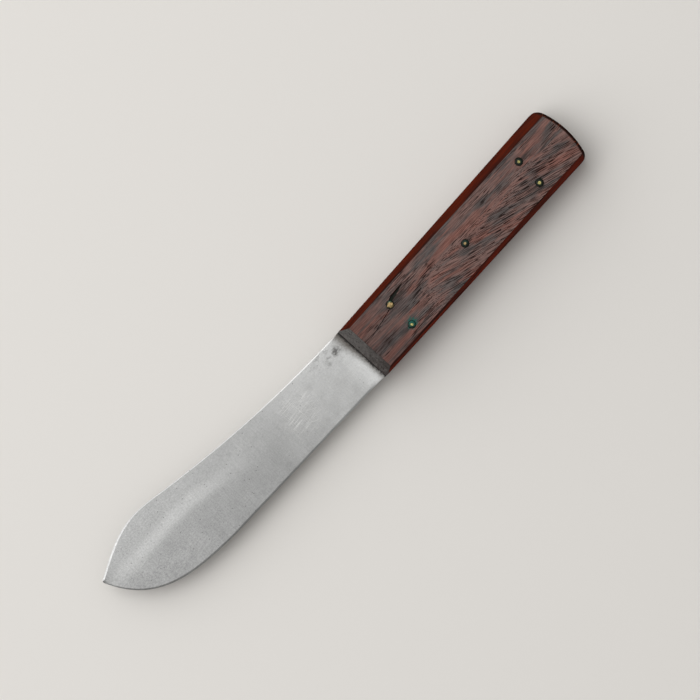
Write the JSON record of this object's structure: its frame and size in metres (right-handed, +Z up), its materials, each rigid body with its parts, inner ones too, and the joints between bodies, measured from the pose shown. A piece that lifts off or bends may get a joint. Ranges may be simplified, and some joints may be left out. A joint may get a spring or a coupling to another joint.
{
  "type": "fixed-blade knife with riveted wooden handle",
  "caption": "Fixed-blade farrier's knife: swelled clip-point blade on a full tang between faceted rosewood scales held by brass pins.",
  "frame": {"origin": "middle of the whole knife's outline, on the face that the knife lies on (the lower scale's flat face)", "axes": "-X towards the tip of the blade, +X towards the butt of the handle, +Y towards the back of the blade, +Z up out of the upper scale's face"},
  "size_m": [0.2798, 0.0424, 0.018],
  "materials": {
    "steel": "worn satin carbon steel, convex ground",
    "rosewood": "old rosewood, worn matte faces and varnished facets",
    "brass": "peened brass with green-black tarnish"
  },
  "bodies": {
    "root": {"blade": "steel", "scale_upper": "rosewood", "scale_lower": "rosewood", "pin_front_upper": "brass", "pin_front_lower": "brass", "pin_middle": "brass", "pin_butt_upper": "brass", "pin_butt_lower": "brass"}
  },
  "joints": []
}
